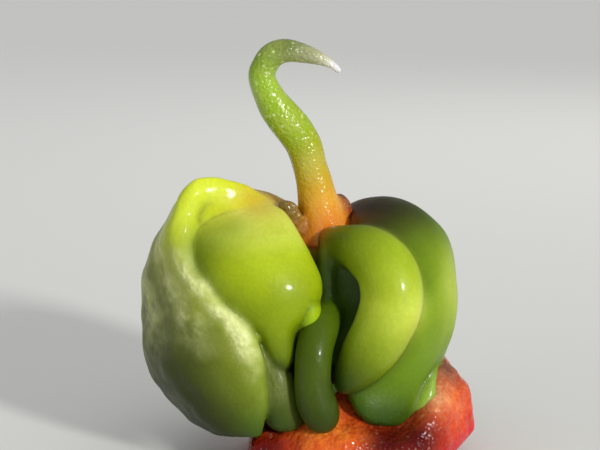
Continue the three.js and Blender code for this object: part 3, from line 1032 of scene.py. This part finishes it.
def hornSkin(look):
    material = bpy.data.materials.new("hornSkin")
    material.use_nodes = True
    tree = material.node_tree
    mottle = useGroup(tree, mottleGroup, {"Patch Size": look["patchSize"], "Speck Size": look["speckSize"]})
    cells = useGroup(tree, cellGroup, {"Cell Size": look["cellSize"]})
    along = addNode(tree, "ShaderNodeSeparateXYZ", {
        "Vector": addNode(tree, "ShaderNodeAttribute", attribute_name="flow").outputs["Vector"],
    }).outputs["Y"]
    colour = addNode(tree, "ShaderNodeAttribute", attribute_name="tint").outputs["Color"]
    pale = maths(tree, "MULTIPLY", mottle["Patches"], look["pale"])
    colour = mixColours(tree, pale, colour, paint(*look["paleColour"]))
    starts, stops = spread(tree, along, *look["pebblesStart"]), spread(tree, along, *look["pebblesStop"])
    pebbly = maths(tree, "MULTIPLY", starts, stops)
    # painted glints: a pale colour on a few cells of the pebbly band stands in for highlights
    glints = maths(tree, "MULTIPLY", cells["Glints"], pebbly)
    glints = maths(tree, "MULTIPLY", glints, look["glints"])
    colour = mixColours(tree, glints, colour, paint(*look["glintColour"]))
    height = maths(tree, "MULTIPLY", cells["Domes"], spread(tree, along, *look["bumpGrows"]))
    rough = spread(tree, mottle["Specks"], 0.0, 1.0, *look["rough"])
    tissue(material, look, colour, height, rough)
    return material


for name, skin, spec in (("leftLobes", "leftSkin", leftLobes), ("rightLobes", "rightSkin", rightLobes)):
    dress(meltParts(name, spec), lobeSkin(skin, spec["look"]), "green_lobes")
dress(meltParts("hookedHorn", horn), hornSkin(horn["look"]), "horn")
print("lobes and horn made")

# the cut piece of flesh
flesh = {
    "voxel": 0.13,
    "blend": 0.1,
    "rounds": 10,
    "crease": 0.1,
    "soft": [],
    "parts": {
        "slab": {
            "corners": [
                [-3.5, -4.7], [0.6, -6.1], [6.2, -5.8], [8.7, -3.7], [11.0, 0.1],
                [9.6, 4.4], [3.0, 6.2], [-3.2, 5.2], [-3.5, 0.6],
            ],
            "softness": 0.16,
            "middle": [-0.6, 0.0],
            "wall": 3.0,
            "flatTo": 2.2,
            "skinRadius": 19.0,
            "skinFollow": 0.9,  # share of the skin's curve that the top follows
            "hills": [  # height, x, y, width in x and in y
                [3.4, 1.6, -1.4, 2.2, 2.1],
                [2.9, 8.1, 1.0, 1.1, 3.2],
                [0.7, 10.8, 0.0, 1.8, 5.0],
            ],
            "rise": [
                [0.02, 0], [0.3, 0], [0.6, 0], [0.9, 0], [0.99, 0.02], [1, 0.1], [1, 0.4], [0.985, 0.66],
                [0.955, 0.84], [0.9, 0.95], [0.82, 1], [0.7, 1], [0.54, 1], [0.36, 1], [0.18, 1], [0.02, 1],
            ],
            "points": 360,
            "rings": 240,
            "relief": [(0.2, 2.0, 101), (0.12, 0.8, 102), (0.05, 0.35, 103)],
            "look": {
                "along": [
                    (0.0, (168, 12, 14)), (0.33, (206, 16, 34)), (0.35, (212, 20, 36)),
                    (0.375, (220, 64, 28)), (0.6, (224, 92, 30)), (1.0, (228, 116, 44)),
                ],
            },
        },
    },
    "spots": [
        # painted shade: the lower front face of the flesh, darkened as in shadow
        [[5.0, -5.1, 3.0], 2.1, (84, 1, 4), 1.0],
        [[6.8, -4.6, 2.9], 2.0, (84, 1, 4), 1.0],
        [[8.6, -3.4, 1.2], 1.1, (176, 14, 30), 0.85],
        [[0.6, -5.6, 3.8], 1.3, (246, 150, 52), 0.9],
        [[2.4, -5.4, 3.2], 1.0, (240, 138, 46), 0.7],
        # painted shadow of the hood on the flesh's left end
        [[-2.6, -5.0, 2.4], 2.2, (104, 8, 8), 1.0],
        [[8.9, -0.6, 6.5], 1.5, (122, 104, 82), 0.9],
        [[8.3, -2.8, 5.4], 1.2, (232, 182, 128), 0.9],
        # painted highlight on the flesh's right side
        [[9.8, -2.0, 4.4], 1.1, (246, 128, 50), 0.8],
    ],
    "look": {
        "patchSize": 2.2,
        "blotches": 0.5,
        "blotchColour": (226, 120, 90),
        "speckSize": 0.3,
        "specks": 0.3,
        "speckColour": (190, 90, 60),
        "cellSize": 0.24,
        "glints": 0.1,
        "glintColour": (250, 215, 170),
        "cutStarts": (0.33, 0.37),  # where the skin ends, on the way from under the slab to its top
        "bumpGrows": (0.33, 0.4, 0.05, 1.0),  # from and to on that way, and the share of bump there
        "bump": 0.05,
        "rough": (0.15, 0.35),
        "shine": 0.4,
        "wet": 0.1,
        "wetRough": 0.1,
        "glow": 0.3,
        "glowDepth": (1.0, 0.35, 0.15),
        "glowScale": 0.8,
    },
}


def fleshSkin(look):
    material = bpy.data.materials.new("cutFlesh")
    material.use_nodes = True
    tree = material.node_tree
    mottle = useGroup(tree, mottleGroup, {"Patch Size": look["patchSize"], "Speck Size": look["speckSize"]})
    cells = useGroup(tree, cellGroup, {"Cell Size": look["cellSize"]})
    flow = addNode(tree, "ShaderNodeAttribute", attribute_name="flow").outputs["Vector"]
    along = addNode(tree, "ShaderNodeSeparateXYZ", {"Vector": flow}).outputs["Y"]
    cut = spread(tree, along, *look["cutStarts"])
    colour = addNode(tree, "ShaderNodeAttribute", attribute_name="tint").outputs["Color"]
    darkPatches = maths(
        tree, "MULTIPLY", maths(tree, "MULTIPLY", mottle["Blotches"], look["blotches"]), cut,
    )
    colour = mixColours(tree, darkPatches, colour, paint(*look["blotchColour"]), "MULTIPLY")
    darkSpecks = maths(tree, "MULTIPLY", mottle["Specks"], look["specks"])
    colour = mixColours(tree, darkSpecks, colour, paint(*look["speckColour"]), "MULTIPLY")
    # painted glints: a pale colour on a few cells of the cut face stands in for wet highlights
    glints = maths(tree, "MULTIPLY", maths(tree, "MULTIPLY", cells["Glints"], look["glints"]), cut)
    colour = mixColours(tree, glints, colour, paint(*look["glintColour"]))
    height = maths(tree, "MULTIPLY", cells["Domes"], spread(tree, along, *look["bumpGrows"]))
    rough = spread(tree, mottle["Specks"], 0.0, 1.0, *look["rough"])
    tissue(material, look, colour, height, rough)
    return material


dress(meltParts("pepperFlesh", flesh), fleshSkin(flesh["look"]), "pepper_flesh")
print("flesh made")

# camera, floor and lights
view = {"aim": (-0.375, 0.0, 15.5), "elevation": 12, "distance": 104.17, "lens": 100}
growthMiddle = np.array([0.0, 0.0, 12.0])  # what the lamps point at
floorLook = {"size": 2.0, "colour": (225, 224, 220), "rough": 0.8}  # size in metres
room = {"colour": (235, 238, 240), "strength": 0.32}
tilt = math.radians(view["elevation"])
cameraData = bpy.data.cameras.new("camera")
cameraData.lens = view["lens"]
cameraData.clip_start = 0.01
camera = bpy.data.objects.new("camera", cameraData)
camera.location = [
    view["aim"][0] * mm,
    (view["aim"][1] - view["distance"] * math.cos(tilt)) * mm,
    (view["aim"][2] + view["distance"] * math.sin(tilt)) * mm,
]
camera.rotation_euler = (math.pi / 2 - tilt, 0, 0)
bpy.context.collection.objects.link(camera)
bpy.context.scene.camera = camera

bpy.ops.mesh.primitive_plane_add(size=floorLook["size"], location=(0, 0, 0))
floor = bpy.context.object
floor.name = "floor"
floorPaint = bpy.data.materials.new("paleFloor")
floorPaint.use_nodes = True
floorShader = floorPaint.node_tree.nodes["Principled BSDF"]
floorShader.inputs["Base Color"].default_value = paint(*floorLook["colour"])
floorShader.inputs["Roughness"].default_value = floorLook["rough"]
floor.data.materials.append(floorPaint)

# the low key shapes the lobes and the soft top light keeps the floor pale; the panels lift the edges
lamps = {
    "key": {"kind": "SUN", "from": (150, -170, 84), "size": 7, "power": 2.5, "shine": True},
    "top": {"kind": "SUN", "from": (10, -60, 200), "size": 70, "power": 0.75, "shine": False},
    "left": {"kind": "AREA", "from": (-170, -110, 80), "size": 60, "power": 0.03, "shine": False},
    "back": {"kind": "AREA", "from": (60, 140, 120), "size": 90, "power": 0.05, "shine": False},
}
for name, lamp in lamps.items():
    light = bpy.data.lights.new(name, lamp["kind"])
    if lamp["kind"] == "SUN":
        light.angle = math.radians(lamp["size"])
    else:
        light.size = lamp["size"] * mm
    light.energy = lamp["power"]
    lampObject = bpy.data.objects.new(name, light)
    place = np.array(lamp["from"], float)
    lampObject.location = place * mm
    aim = unit(place - growthMiddle)
    lampObject.rotation_euler = (math.acos(aim[2]), 0, math.atan2(aim[0], -aim[1]))
    bpy.context.collection.objects.link(lampObject)
    lampObject.visible_glossy = lamp["shine"]

world = bpy.data.worlds.new("softRoom")
world.use_nodes = True
world.node_tree.nodes["Background"].inputs["Color"].default_value = paint(*room["colour"])
world.node_tree.nodes["Background"].inputs["Strength"].default_value = room["strength"]
bpy.context.scene.world = world
bpy.context.scene.view_settings.view_transform = "Standard"
print("stage made")
